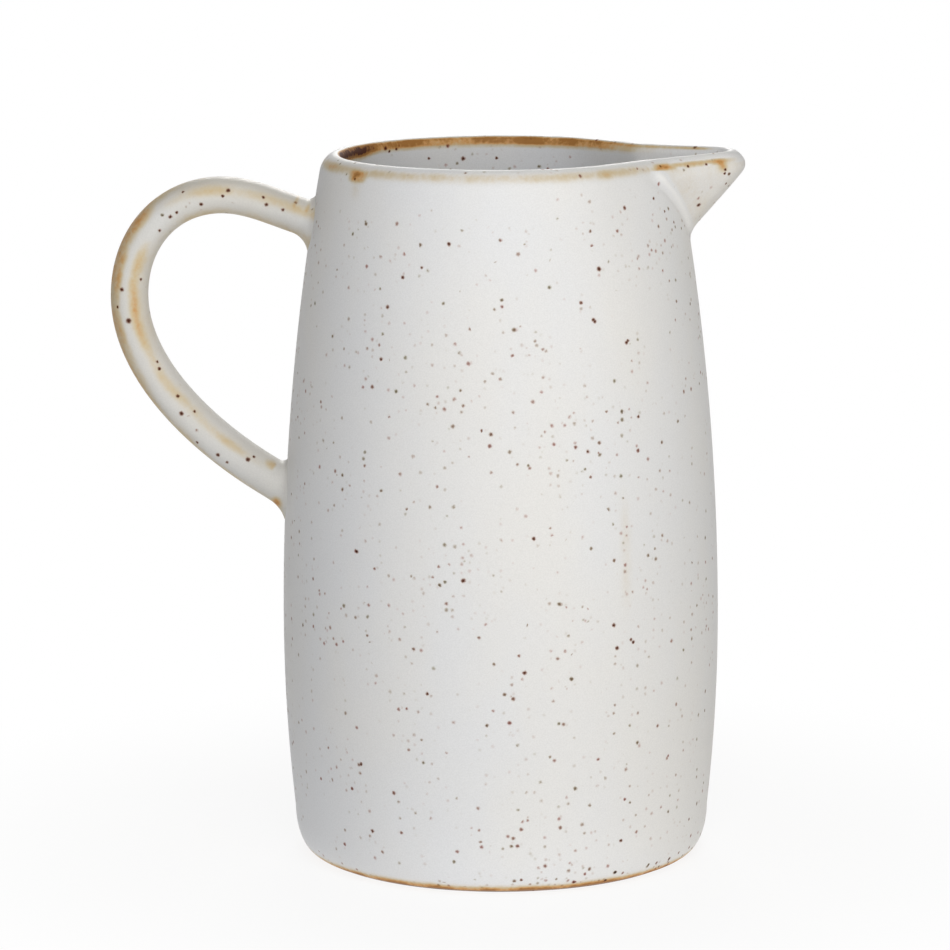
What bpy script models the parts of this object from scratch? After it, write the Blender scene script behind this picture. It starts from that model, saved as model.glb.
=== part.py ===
"""Ceramic milk jug: a barrel body with a luted spout and an ear-shaped handle.

Metres, +Z up. The origin is on the body's axis, on the underside of the base. The spout points
along +X and the handle along -X.
"""
from math import acos, atan2, cos, hypot, pi, radians, sin, sqrt, tan

import bmesh
import bpy
from mathutils import Vector

# Body
JUG_HEIGHT = 0.2000          # underside of the base to the crest of the lip
RIM_RADIUS = 0.0501          # outside of the wall where the lip starts to roll over
BELLY_RADIUS = 0.0620        # outside of the wall at its widest
BELLY_HEIGHT = 0.0655        # height of the widest place
WALL_FOOT_RADIUS = 0.0576    # where the wall would meet the table without its rounded corner
WALL = 0.0058                # thickness of the wall, and of its lip

# Base
FOOT_RADIUS = 0.0540         # bare underside
FOOT_HEIGHT = 0.0010         # upright edge of the bare clay
CORNER_HEIGHT = 0.0129       # where the rounded foot corner joins the wall
BASE_THICKNESS = 0.0060      # floor of the jug
COVE = 0.0040                # slope between the floor and the inside of the wall

# Spout
SPOUT_REACH = 0.0190         # tip of the nose beyond the rim
SPOUT_RISE = 0.0006          # crest of the spout above the crest of the lip
SPOUT_WIDTH = 0.0464         # outside, where its arms meet the rim
SPOUT_NOSE_RADIUS = 0.0105   # outside of the nose, seen from above
SPOUT_WALL = 0.0055          # thickness, measured level
SPOUT_LIP_HEIGHT = 0.0058    # upright lip above the sloping keel
SPOUT_KEEL_ANGLE = 48.8      # degrees, keel against level
SEAM_THICKNESS = 0.0012      # luting clay between the spout and the wall
SEAM_RIDGE = 0.0005          # how far the luting clay stands proud of the spout

# Handle
HANDLE_THICKNESS = 0.0103    # across the strap in the plane of the loop, at its crown
HANDLE_WIDTH = 0.0136        # along Y, at its crown
HANDLE_FOOT_THICKNESS = 0.0113   # the same at its foot, where it is stouter all round
HANDLE_REACH = 0.0521        # wall to the middle of the strap at its back
UPPER_ROOT_DROP = 0.0190     # lip down to the middle of the upper root
LOWER_ROOT_DROP = 0.0952     # lip down to the middle of the lower root
UPPER_ROOT_PITCH = 20.0      # degrees, rise of the strap as it leaves the wall
LOWER_ROOT_PITCH = 32.0
CROWN_REACH = 0.0253         # wall to the highest place of the strap
CROWN_RISE = 0.0072          # upper root up to the crown
BACK_DROP = 0.0215           # upper root down to the strap's furthest place
NECK_ROUNDNESS = 0.35        # lengths of the curve's handles, as shares of each stretch
EAR_ROUNDNESS = 0.58
LEG_ROUNDNESS = 0.41
COLLAR_LENGTH = 0.0065       # luting clay between the strap and the wall
COLLAR_FLARE = 0.0023        # how far it spreads on the wall

# Fit
GAP = 0.0003                 # between pieces that touch
SEAM_LIP_ANGLE = 60.0        # degrees up the roll of the lip that the luting clay fills

# Fineness
TURN_STEPS = 52
WALL_ROWS = 13
CORNER_ROWS = 4
LIP_STEPS = 8
KEEL_ROWS = 4
NOSE_STEPS = 10
SECTION_POINTS = 20
HANDLE_STEPS = 9
COLLAR_STEPS = 5
SMOOTH_ANGLE = 40.0          # degrees, sharper edges stay sharp

# Heights and places that follow
LIP_RADIUS = WALL / 2
LIP_HEIGHT = JUG_HEIGHT - LIP_RADIUS
WALL_BOTTOM = BASE_THICKNESS + GAP
SPOUT_TIP = RIM_RADIUS + SPOUT_REACH
SPOUT_LIP_BASE = JUG_HEIGHT + SPOUT_RISE - SPOUT_LIP_HEIGHT
SPOUT_SEAT = GAP + SEAM_THICKNESS + GAP
BURIED = 2 * WALL            # how far shapes run on into the body, to be cut off there
SPOUT_FOOT = SPOUT_LIP_BASE - (SPOUT_REACH + BURIED) * tan(radians(SPOUT_KEEL_ANGLE))
FOOT_STOUTNESS = HANDLE_FOOT_THICKNESS / HANDLE_THICKNESS


def clear_scene():
    for obj in list(bpy.data.objects):
        bpy.data.objects.remove(obj, do_unlink=True)


def make_collection(name):
    collection = bpy.data.collections.new(name)
    bpy.context.scene.collection.children.link(collection)
    return collection


def glaze(name, colour, roughness):
    material = bpy.data.materials.new(name)
    material.use_nodes = True
    shader = material.node_tree.nodes["Principled BSDF"]
    shader.inputs["Base Color"].default_value = (*colour, 1.0)
    shader.inputs["Roughness"].default_value = roughness
    shader.inputs["Metallic"].default_value = 0.0
    return material


def as_cutter(obj):
    obj.hide_render = True
    obj.display_type = "WIRE"
    return obj


def combine(obj, cutter, operation):
    boolean = obj.modifiers.new(cutter.name, "BOOLEAN")
    boolean.operation = operation
    boolean.solver = "EXACT"
    boolean.object = cutter


def spread(first, last, count):
    """Evenly spaced values from first to last, both included."""
    return [first + (last - first) * i / count for i in range(count + 1)]


def wall_radius(height):
    """Outside of the wall: two parabolas that meet upright at the belly."""
    level = min(height, LIP_HEIGHT)
    if level > BELLY_HEIGHT:
        share = (level - BELLY_HEIGHT) / (LIP_HEIGHT - BELLY_HEIGHT)
        return BELLY_RADIUS - (BELLY_RADIUS - RIM_RADIUS) * share ** 2
    share = (BELLY_HEIGHT - level) / BELLY_HEIGHT
    return BELLY_RADIUS - (BELLY_RADIUS - WALL_FOOT_RADIUS) * share ** 2


def corner_radius(height):
    """Outside of the rounded corner: a quarter ellipse from the foot up to the wall."""
    share = (CORNER_HEIGHT - height) / (CORNER_HEIGHT - FOOT_HEIGHT)
    return FOOT_RADIUS + (wall_radius(CORNER_HEIGHT) - FOOT_RADIUS) * sqrt(1 - share ** 2)


def lip_arc(first, last, count, clearance=0.0):
    """Points round the rolled lip. 0 degrees is outside, 90 the crest and 180 inside."""
    reach = LIP_RADIUS + clearance
    middle = RIM_RADIUS - LIP_RADIUS
    turns = [radians(angle) for angle in spread(first, last, count)]
    return [(middle + reach * cos(turn), LIP_HEIGHT + reach * sin(turn)) for turn in turns]


def turned(name, profile, collection, closed):
    """A profile of (radius, height) points, running down its outer side, turned about Z."""
    points = [(radius, 0.0, height) for radius, height in profile]
    edges = [(i, i + 1) for i in range(len(points) - 1)]
    if closed:
        edges.append((len(points) - 1, 0))
    mesh = bpy.data.meshes.new(name)
    mesh.from_pydata(points, edges, [])
    obj = bpy.data.objects.new(name, mesh)
    collection.objects.link(obj)
    screw = obj.modifiers.new("turn", "SCREW")
    screw.axis = "Z"
    screw.angle = 2 * pi
    screw.steps = TURN_STEPS
    screw.render_steps = TURN_STEPS
    screw.use_merge_vertices = True
    screw.merge_threshold = 0.00001
    screw.use_smooth_shade = True
    return obj


def loft(name, loops, collection):
    """A closed skin through loops of equal length, capped at the first and the last."""
    sheet = bmesh.new()
    rings = [[sheet.verts.new(point) for point in loop] for loop in loops]
    count = len(loops[0])
    for lower, upper in zip(rings, rings[1:]):
        for i in range(count):
            after = (i + 1) % count
            sheet.faces.new((lower[i], lower[after], upper[after], upper[i]))
    sheet.faces.new(reversed(rings[0]))
    sheet.faces.new(rings[-1])
    bmesh.ops.recalc_face_normals(sheet, faces=sheet.faces)
    mesh = bpy.data.meshes.new(name)
    sheet.to_mesh(mesh)
    sheet.free()
    mesh.shade_smooth()
    mesh.set_sharp_from_angle(angle=radians(SMOOTH_ANGLE))
    obj = bpy.data.objects.new(name, mesh)
    collection.objects.link(obj)
    return obj


def wall_clearance(name, clearance, collection):
    """The body's outside as a solid, enlarged by a clearance and taller than the jug."""
    top = JUG_HEIGHT + BURIED
    bottom = -BURIED
    heights = [top] + spread(LIP_HEIGHT, 0.0, WALL_ROWS) + [bottom]
    side = [(wall_radius(height) + clearance, height) for height in heights]
    return as_cutter(turned(name, [(0.0, top)] + side + [(0.0, bottom)], collection, closed=False))


def make_body_wall(parts, cutters):
    """The thrown wall: down its outside from the rolled lip, and up its inside from the cove."""
    cove_top = WALL_BOTTOM + COVE
    outside_heights = spread(LIP_HEIGHT, CORNER_HEIGHT, WALL_ROWS)[1:]
    corner_heights = spread(CORNER_HEIGHT, WALL_BOTTOM, CORNER_ROWS)[1:]
    inside_heights = spread(cove_top, LIP_HEIGHT, WALL_ROWS)[:-1]
    lip = lip_arc(180, 0, LIP_STEPS)
    outside = [(wall_radius(height), height) for height in outside_heights]
    corner = [(corner_radius(height), height) for height in corner_heights]
    foot = [(wall_radius(cove_top) - WALL - COVE, WALL_BOTTOM)]
    inside = [(wall_radius(height) - WALL, height) for height in inside_heights]
    wall = turned("body_wall", lip + outside + corner + foot + inside, parts, closed=True)
    wall.data.materials.append(glaze("wall_glaze", (0.80, 0.78, 0.73), 0.45))
    combine(wall, make_channel(cutters), "DIFFERENCE")
    return wall


def make_base_disc(parts):
    """The floor of the jug, with the bare foot that it stands on."""
    edge_heights = spread(BASE_THICKNESS, FOOT_HEIGHT, CORNER_ROWS)
    edge = [(corner_radius(height), height) for height in edge_heights]
    profile = [(0.0, BASE_THICKNESS)] + edge + [(FOOT_RADIUS, 0.0), (0.0, 0.0)]
    disc = turned("base_disc", profile, parts, closed=False)
    disc.data.materials.append(glaze("bare_clay", (0.55, 0.44, 0.34), 0.85))
    return disc


def nose_centre(height):
    """The nose's centre: it comes forward up the keel and stands still in the lip."""
    below_lip = max(0.0, SPOUT_LIP_BASE - height)
    return SPOUT_TIP - SPOUT_NOSE_RADIUS - below_lip / tan(radians(SPOUT_KEEL_ANGLE))


def spout_arms():
    """The arms' angle on the nose, and their length from the nose back to the rim."""
    half_width = SPOUT_WIDTH / 2
    back = sqrt(RIM_RADIUS ** 2 - half_width ** 2) - nose_centre(JUG_HEIGHT)
    distance = hypot(back, half_width)
    angle = atan2(half_width, back) - acos(SPOUT_NOSE_RADIUS / distance)
    return angle, sqrt(distance ** 2 - SPOUT_NOSE_RADIUS ** 2)


def spout_loop(inset, height, extra):
    """A level cut through the spout: two straight arms round a nose, closed across the back."""
    angle, arm = spout_arms()
    radius = SPOUT_NOSE_RADIUS - inset
    centre = nose_centre(height)
    turns = spread(-angle, angle, NOSE_STEPS)
    nose = [(centre + radius * cos(turn), radius * sin(turn)) for turn in turns]
    run = arm + extra
    tail_x = nose[-1][0] - run * sin(angle)
    tail_y = nose[-1][1] + run * cos(angle)
    outline = [(tail_x, -tail_y)] + nose + [(tail_x, tail_y)]
    return [Vector((x, y, height)) for x, y in outline]


def spout_shell(name, proud, collection):
    """The whole trough with its rolled lip. Its back part lies inside the body, to be cut off."""
    keel_heights = spread(SPOUT_FOOT, SPOUT_LIP_BASE, KEEL_ROWS)
    keel = [spout_loop(-proud, height, BURIED) for height in keel_heights]
    half = (SPOUT_WALL + proud) / 2
    lip = []
    for turn in spread(0.0, pi, LIP_STEPS)[1:-1]:
        inset = half * (1 - cos(turn)) - proud
        height = SPOUT_LIP_BASE + SPOUT_LIP_HEIGHT * sin(turn)
        lip.append(spout_loop(inset, height, BURIED - inset))
    channel_heights = spread(SPOUT_LIP_BASE, SPOUT_FOOT + SPOUT_WALL, KEEL_ROWS)
    channel = [spout_loop(SPOUT_WALL, height, BURIED - SPOUT_WALL) for height in channel_heights]
    return loft(name, keel + lip + channel, collection)


def make_channel(cutters):
    """The way through the wall into the spout."""
    heights = [SPOUT_FOOT, SPOUT_LIP_BASE, JUG_HEIGHT + BURIED]
    loops = [spout_loop(SPOUT_WALL, height, 2 * BURIED) for height in heights]
    return as_cutter(loft("spout_channel", loops, cutters))


def make_spout(parts, cutters):
    """The pouring spout, cut back to make room for its seam on the wall."""
    spout = spout_shell("spout", 0.0, parts)
    spout.data.materials.append(glaze("spout_glaze", (0.79, 0.76, 0.70), 0.45))
    combine(spout, wall_clearance("spout_seat", SPOUT_SEAT, cutters), "DIFFERENCE")
    return spout


def make_spout_seam(parts, cutters):
    """Luting clay that fills the space between the wall, with its lip, and the spout's back edge."""
    heights = spread(LIP_HEIGHT, SPOUT_FOOT, 2 * KEEL_ROWS)
    lip = lip_arc(0, SEAM_LIP_ANGLE, LIP_STEPS // 2, GAP)
    outer = [(wall_radius(height) + GAP + SEAM_THICKNESS, height) for height in [lip[-1][1]] + heights]
    inner = [(wall_radius(height) + GAP, height) for height in reversed(heights[1:])]
    layer = as_cutter(turned("seam_layer", outer + inner + lip, cutters, closed=True))
    seam = spout_shell("spout_seam", SEAM_RIDGE, parts)
    seam.data.materials.append(glaze("seam_glaze", (0.84, 0.82, 0.77), 0.45))
    combine(seam, layer, "INTERSECT")
    return seam


def root_on_wall(drop):
    """The middle of a handle root on the outside of the wall."""
    height = JUG_HEIGHT - drop
    return Vector((-wall_radius(height), 0.0, height))


def pitch_direction(pitch):
    """The way the strap leaves the wall."""
    return Vector((-cos(radians(pitch)), 0.0, sin(radians(pitch))))


def make_handle_section(cutters):
    """The strap's oval section at its crown."""
    data = bpy.data.curves.new("handle_section", "CURVE")
    data.dimensions = "2D"
    data.resolution_u = SECTION_POINTS // 4
    spline = data.splines.new("BEZIER")
    spline.use_cyclic_u = True
    spline.bezier_points.add(3)
    corners = [(HANDLE_THICKNESS / 2, 0.0), (0.0, -HANDLE_WIDTH / 2)]
    corners += [(-x, -y) for x, y in corners]
    for point, (x, y) in zip(spline.bezier_points, corners):
        point.co = (x, y, 0.0)
        point.handle_left_type = "AUTO"
        point.handle_right_type = "AUTO"
    section = bpy.data.objects.new("handle_section", data)
    cutters.objects.link(section)
    return as_cutter(section)


def handle_stations():
    """The strap's four stations: place, curve handles before and after, and stoutness."""
    upper_root = root_on_wall(UPPER_ROOT_DROP)
    top = upper_root + COLLAR_LENGTH * pitch_direction(UPPER_ROOT_PITCH)
    foot = root_on_wall(LOWER_ROOT_DROP) + COLLAR_LENGTH * pitch_direction(LOWER_ROOT_PITCH)
    crown = upper_root + Vector((-CROWN_REACH, 0.0, CROWN_RISE))
    back = upper_root + Vector((-HANDLE_REACH, 0.0, -BACK_DROP))
    neck = NECK_ROUNDNESS * (top.x - crown.x)
    ear_across = Vector((EAR_ROUNDNESS * (crown.x - back.x), 0.0, 0.0))
    ear_down = Vector((0.0, 0.0, EAR_ROUNDNESS * (crown.z - back.z)))
    leg = LEG_ROUNDNESS * (back.z - foot.z)
    top_way = neck * pitch_direction(UPPER_ROOT_PITCH)
    foot_way = leg * pitch_direction(LOWER_ROOT_PITCH)
    neck_across = Vector((neck, 0.0, 0.0))
    leg_down = Vector((0.0, 0.0, leg))
    back_stoutness = (1.0 + FOOT_STOUTNESS) / 2
    return [
        (top, top - top_way, top + top_way, 1.0),
        (crown, crown + neck_across, crown - ear_across, 1.0),
        (back, back + ear_down, back - leg_down, back_stoutness),
        (foot, foot + foot_way, foot - foot_way, FOOT_STOUTNESS),
    ]


def make_handle(parts, section):
    """The strap: its section swept along one smooth curve, drawn flat and stood up."""
    data = bpy.data.curves.new("handle", "CURVE")
    data.dimensions = "2D"
    data.resolution_u = HANDLE_STEPS
    data.bevel_mode = "OBJECT"
    data.bevel_object = section
    data.use_fill_caps = True
    data.fill_mode = "NONE"
    stations = handle_stations()
    spline = data.splines.new("BEZIER")
    spline.bezier_points.add(len(stations) - 1)
    for point, (place, before, after, stoutness) in zip(spline.bezier_points, stations):
        point.handle_left_type = "FREE"
        point.handle_right_type = "FREE"
        point.co = (place.x, place.z, 0.0)
        point.handle_left = (before.x, before.z, 0.0)
        point.handle_right = (after.x, after.z, 0.0)
        point.radius = stoutness
    handle = bpy.data.objects.new("handle", data)
    handle.rotation_euler.x = radians(90)
    parts.objects.link(handle)
    data.materials.append(glaze("handle_glaze", (0.78, 0.73, 0.64), 0.45))
    return handle


def make_collar(name, drop, pitch, stoutness, parts, clearance):
    """Luting clay that flares from the strap's end section to the wall."""
    root = root_on_wall(drop)
    axis = pitch_direction(pitch)
    across = Vector((axis.z, 0.0, -axis.x))
    upright = Vector((0.0, 0.0, 1.0 / cos(radians(pitch))))
    half_thickness = stoutness * HANDLE_THICKNESS / 2
    half_width = stoutness * HANDLE_WIDTH / 2
    stations = [(share, COLLAR_LENGTH * (1 - share)) for share in spread(0.0, 1.0, COLLAR_STEPS)]
    stations[0] = (0.0, COLLAR_LENGTH - GAP)
    stations.append((1.0, -WALL))
    loops = []
    for share, distance in stations:
        flare = COLLAR_FLARE * (1 - sqrt(1 - share ** 2))
        thick = across.lerp(upright, share) * half_thickness
        thick += thick.normalized() * flare
        wide = Vector((0.0, half_width + flare, 0.0))
        turns = spread(0.0, 2 * pi, SECTION_POINTS)[:-1]
        centre = root + axis * distance
        loops.append([centre + thick * cos(turn) + wide * sin(turn) for turn in turns])
    collar = loft(name, loops, parts)
    collar.data.materials.append(glaze(name + "_glaze", (0.81, 0.77, 0.69), 0.45))
    combine(collar, clearance, "DIFFERENCE")
    return collar


def build():
    clear_scene()
    parts = make_collection("ceramic_milk_jug")
    cutters = make_collection("cutters")
    make_body_wall(parts, cutters)
    make_base_disc(parts)
    make_spout(parts, cutters)
    make_spout_seam(parts, cutters)
    make_handle(parts, make_handle_section(cutters))
    touching = wall_clearance("collar_seat", GAP, cutters)
    make_collar("upper_collar", UPPER_ROOT_DROP, UPPER_ROOT_PITCH, 1.0, parts, touching)
    make_collar("lower_collar", LOWER_ROOT_DROP, LOWER_ROOT_PITCH, FOOT_STOUTNESS, parts, touching)


build()
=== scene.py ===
# %% [markdown]
# # A speckled stoneware milk jug
# The real jug is one pot: a thrown barrel, a pulled spout and a strap handle, luted together and
# fired under a satin cream glaze. The plain solids of its members are already built, so this lesson
# makes the surface that shows: soft joints, a rolled lip, and a glaze that breaks to ochre on edges.
# The solids load first, as a fixed frame that every size below is set against.

# %% Load the frame
from math import acos, atan2, cos, exp, hypot, pi, radians, sin, sqrt, tan

import bmesh
import bpy
from mathutils import Matrix, Vector, geometry, noise


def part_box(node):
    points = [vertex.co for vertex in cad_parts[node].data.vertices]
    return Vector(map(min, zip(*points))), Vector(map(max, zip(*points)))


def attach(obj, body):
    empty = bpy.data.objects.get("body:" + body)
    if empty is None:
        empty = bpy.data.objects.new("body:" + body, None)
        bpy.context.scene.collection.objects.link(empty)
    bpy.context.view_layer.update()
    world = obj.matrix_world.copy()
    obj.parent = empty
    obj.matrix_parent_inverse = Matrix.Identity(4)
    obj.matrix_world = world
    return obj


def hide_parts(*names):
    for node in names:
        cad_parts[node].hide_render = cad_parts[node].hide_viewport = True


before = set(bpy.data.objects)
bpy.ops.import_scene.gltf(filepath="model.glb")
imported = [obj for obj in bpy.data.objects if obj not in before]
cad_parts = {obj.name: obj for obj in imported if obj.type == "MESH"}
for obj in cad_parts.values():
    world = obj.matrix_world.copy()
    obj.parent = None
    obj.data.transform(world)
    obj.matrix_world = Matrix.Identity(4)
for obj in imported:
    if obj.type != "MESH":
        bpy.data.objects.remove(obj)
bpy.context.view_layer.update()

MM = 0.001
print("solids:", ", ".join(sorted(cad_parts)))

# %% [markdown]
# ## Camera
# A long lens from a little above the lip, looking ten degrees down, keeps the sides of the barrel
# nearly parallel. The camera could aim at the jug with a constraint, but a matrix made from three
# turns says the same thing and stays put when the view is changed.

# %% Place the camera
CAMERA_PLACE = Vector((0.0, -1.2827, 0.3362))
CAMERA_PITCH = 10.092        # degrees down
CAMERA_YAW = 0.321           # degrees to the left
CAMERA_ROLL = -0.238         # degrees
CAMERA_LENS = 173.6          # millimetres
SENSOR_WIDTH = 36.0

camera = bpy.data.objects.new("camera", bpy.data.cameras.new("camera"))
camera.data.sensor_width = SENSOR_WIDTH
camera.data.lens = CAMERA_LENS
aim = Matrix.Rotation(radians(CAMERA_YAW), 4, "Z")
aim = aim @ Matrix.Rotation(radians(90.0 - CAMERA_PITCH), 4, "X")
aim = aim @ Matrix.Rotation(radians(CAMERA_ROLL), 4, "Z")
camera.matrix_world = Matrix.Translation(CAMERA_PLACE) @ aim
bpy.context.scene.collection.objects.link(camera)
bpy.context.scene.camera = camera
bpy.context.scene.view_settings.view_transform = "Standard"

# %% [markdown]
# ## Shader helpers
# Node trees are easier to read when each node is one line. `add_node` makes a node, sets its
# options, and either links a socket or writes a plain value into each input. `new_group` makes a
# node group with named sockets, so that one effect can be used by several materials.

# %% Node helpers
BELL_POWER = 2.6             # 2 is a bell, more has a flatter top and steeper sides


def add_node(tree, kind, inputs=None, **options):
    node = tree.nodes.new("ShaderNode" + kind)
    for name, value in options.items():
        setattr(node, name, value)
    for name, value in (inputs or {}).items():
        if isinstance(value, bpy.types.NodeSocket):
            tree.links.new(value, node.inputs[name])
        else:
            node.inputs[name].default_value = value
    return node


def calculate(tree, operation, first, second=0.0):
    return add_node(tree, "Math", {0: first, 1: second}, operation=operation).outputs[0]


def ramp(tree, value, start, end, low=0.0, high=1.0, shape="SMOOTHSTEP"):
    """A soft step: low before start, high after end."""
    sockets = {"Value": value, "From Min": start, "From Max": end, "To Min": low, "To Max": high}
    return add_node(tree, "MapRange", sockets, interpolation_type=shape).outputs[0]


def noise_value(tree, place, scale, detail):
    """Soft noise, with about as many spots in a metre as its scale says."""
    sockets = {"Vector": place, "Scale": scale, "Detail": detail}
    return add_node(tree, "TexNoise", sockets).outputs[0]


def bell_curve(tree, value):
    """One where the value is zero, falling smoothly to about a third at one."""
    power = calculate(tree, "POWER", value, BELL_POWER)
    return calculate(tree, "EXPONENT", calculate(tree, "MULTIPLY", power, -1.0))


def blend_colour(tree, share, first, second, way="MIX"):
    node = add_node(tree, "Mix", {"Factor": share}, data_type="RGBA", blend_type=way)
    for socket, colour in (("A_Color", first), ("B_Color", second)):
        target = next(entry for entry in node.inputs if entry.identifier == socket)
        if isinstance(colour, bpy.types.NodeSocket):
            tree.links.new(colour, target)
        else:
            target.default_value = (*colour, 1.0)
    return next(entry for entry in node.outputs if entry.identifier == "Result_Color")


def new_group(name, inputs, outputs):
    group = bpy.data.node_groups.new(name, "ShaderNodeTree")
    for label, kind, value in inputs:
        socket = group.interface.new_socket(label, in_out="INPUT", socket_type="NodeSocket" + kind)
        if value is not None:
            socket.default_value = value
    for label in outputs:
        group.interface.new_socket(label, in_out="OUTPUT", socket_type="NodeSocketFloat")
    return group, group.nodes.new("NodeGroupInput").outputs, group.nodes.new("NodeGroupOutput")


def use_group(tree, group, inputs):
    return add_node(tree, "Group", inputs, node_tree=group).outputs


print("node helpers ready")

# %% [markdown]
# ## Iron specks
# Grains of iron in the clay melt into the glaze and stain it, strongly in the middle of a grain and
# less outwards. They could be painted as a texture, but cells of a 3D Voronoi texture need no
# unwrapping: a cell's centre is a grain, and the surface is stained by how near it passes. A bell
# curve of that distance keeps all stains alike in size, whether they are dark or faint.

# %% Ragged places
RAGGED_SCALE = 1900.0
RAGGED_REACH = 0.35 * MM
NOISE_MIDDLE = (0.5, 0.5, 0.5)


def ragged_place(tree, place):
    """Shakes the coordinates a little, so that what is drawn with them isn't perfectly round."""
    shake = add_node(tree, "TexNoise", {"Vector": place, "Scale": RAGGED_SCALE, "Detail": 0.0})
    swing = {0: shake.outputs["Color"], 1: NOISE_MIDDLE}
    swing = add_node(tree, "VectorMath", swing, operation="SUBTRACT").outputs[0]
    swing = add_node(tree, "VectorMath", {0: swing, "Scale": RAGGED_REACH}, operation="SCALE").outputs[0]
    return add_node(tree, "VectorMath", {0: place, 1: swing}, operation="ADD").outputs[0]


print("ragged by", RAGGED_REACH / MM, "mm")

# %% The speck group
GRAIN_RADIUS = 0.40          # millimetres, where a stain has dropped to about a third
SMALLEST_GRAIN = 0.85 * GRAIN_RADIUS
LARGEST_GRAIN = 1.15 * GRAIN_RADIUS
FAINT_STAIN = 0.10
DARK_STAIN = 2.0
STAIN_POWER = 3.0            # the higher, the fewer dark ones
CLUSTER_SCALE = 48.0
CLUSTER_NOISE = (0.36, 0.66)     # the noise of a bare place, and of a cluster
CROWDING = (0.35, 1.65)          # what the number of grains is multiplied by there

specks, given, made = new_group(
    "iron_specks",
    [("Place", "Vector", None), ("Spacing", "Float", 3.0), ("Share", "Float", 0.4)],
    ["Stain", "Hue"],
)
cells_per_metre = calculate(specks, "DIVIDE", 1.0 / MM, given["Spacing"])
ragged = ragged_place(specks, given["Place"])
cells = add_node(specks, "TexVoronoi", {"Vector": ragged, "Scale": cells_per_metre})
chance = add_node(specks, "SeparateColor", {"Color": cells.outputs["Color"]}).outputs
cluster = noise_value(specks, given["Place"], CLUSTER_SCALE, 1.0)
crowding = ramp(specks, cluster, *CLUSTER_NOISE, *CROWDING)
share = calculate(specks, "MULTIPLY", crowding, given["Share"])
present = calculate(specks, "LESS_THAN", chance["Red"], share)
strength = calculate(specks, "POWER", chance["Green"], STAIN_POWER)
strength = ramp(specks, strength, 0.0, 1.0, FAINT_STAIN, DARK_STAIN, "LINEAR")
distance = calculate(specks, "MULTIPLY", cells.outputs["Distance"], given["Spacing"])
radius = ramp(specks, chance["Blue"], 0.0, 1.0, SMALLEST_GRAIN, LARGEST_GRAIN)
bell = bell_curve(specks, calculate(specks, "DIVIDE", distance, radius))
stain = calculate(specks, "MULTIPLY", calculate(specks, "MULTIPLY", bell, strength), present)
hue = add_node(specks, "TexWhiteNoise", {"Vector": cells.outputs["Position"]}).outputs["Value"]
specks.links.new(stain, made.inputs["Stain"])
specks.links.new(hue, made.inputs["Hue"])
print("group", specks.name, "with", len(specks.nodes), "nodes")

# %% [markdown]
# ## Breaking to ochre
# A glaze runs thin over an edge, and there the iron of the clay shows through: pale straw where it
# is a little thin, amber and ochre where it is thinner, and burnt brown where it has nearly gone.
# Each piece carries an attribute that says how thin its glaze is, and which carries painted shade
# too; it is below zero where the glaze is whiter, where it has pooled and where a painted highlight
# lies along the spout's joint. The colours could be painted along the edges, but then every edge
# would be even. This group frays the attribute with coarse and fine noise first.

# %% The breaking group
PATCHY_SCALE = 130.0
GRAINY_SCALE = 900.0
BROAD_NOISE = (0.32, 0.68)         # soft noise seldom leaves these ranges
FINE_NOISE = (0.25, 0.75)
PATCHY_CHANGE = (-0.28, 0.26)      # share by which the thinness changes with the noise
GRAINY_CHANGE = (-0.14, 0.14)
BREAKS = [                         # thinness where a colour starts, and where it is full
    ("Straw", 0.0, 0.45),
    ("Amber", 0.35, 0.85),
    ("Ochre", 0.75, 1.15),
    ("Burnt", 1.4, 2.1),
]

breaking, given, made = new_group(
    "glaze_breaking",
    [("Place", "Vector", None), ("Thinness, shade and sheen", "Float", 0.0)],
    [label for label, start, end in BREAKS],
)
patchy = noise_value(breaking, given["Place"], PATCHY_SCALE, 4.0)
grainy = noise_value(breaking, given["Place"], GRAINY_SCALE, 2.0)
patches = ramp(breaking, patchy, *BROAD_NOISE, *PATCHY_CHANGE)
grains = ramp(breaking, grainy, *FINE_NOISE, *GRAINY_CHANGE)
change = calculate(breaking, "ADD", calculate(breaking, "ADD", patches, grains), 1.0)
thin = calculate(breaking, "MULTIPLY", given["Thinness, shade and sheen"], change)
for label, start, end in BREAKS:
    breaking.links.new(ramp(breaking, thin, start, end), made.inputs[label])
print("group", breaking.name, "with", len(breaking.nodes), "nodes")

# %% [markdown]
# ## The skin of the glaze
# A satin glaze isn't even: it is cloudy from dipping, a little rough, and faintly dimpled. All of it
# is too shallow to model, so noise makes it: broad noise the clouds, and fine noise the roughness, a
# faint mottle of the colour, and the height for a bump.

# %% The skin group
CLOUD_STRETCH = (1.0, 1.0, 0.55)   # the glaze ran down, so the clouds are tall
CLOUD_SCALE = 26.0
DIMPLE_SCALE = 420.0
MOTTLE_SCALE = 2600.0
MOTTLE_HEIGHT = 0.18               # against the height of the dimples
DIMPLE_NOISE = (0.2, 0.8)
SATIN = (0.40, 0.52)               # roughness
MOTTLE = (0.945, 1.0)              # brightness

skin, given, made = new_group(
    "glaze_skin",
    [("Place", "Vector", None)],
    ["Cloud", "Mottle", "Roughness", "Height"],
)
stretched = add_node(skin, "Mapping", {"Vector": given["Place"], "Scale": CLOUD_STRETCH})
clouds = noise_value(skin, stretched.outputs[0], CLOUD_SCALE, 3.0)
dimples = noise_value(skin, given["Place"], DIMPLE_SCALE, 2.0)
mottle = noise_value(skin, given["Place"], MOTTLE_SCALE, 1.0)
relief = {0: mottle, 1: MOTTLE_HEIGHT, 2: dimples}
height = add_node(skin, "Math", relief, operation="MULTIPLY_ADD").outputs[0]
skin.links.new(ramp(skin, clouds, *BROAD_NOISE), made.inputs["Cloud"])
skin.links.new(ramp(skin, dimples, *DIMPLE_NOISE, *SATIN), made.inputs["Roughness"])
skin.links.new(ramp(skin, mottle, *FINE_NOISE, *MOTTLE), made.inputs["Mottle"])
skin.links.new(height, made.inputs["Height"])
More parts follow.
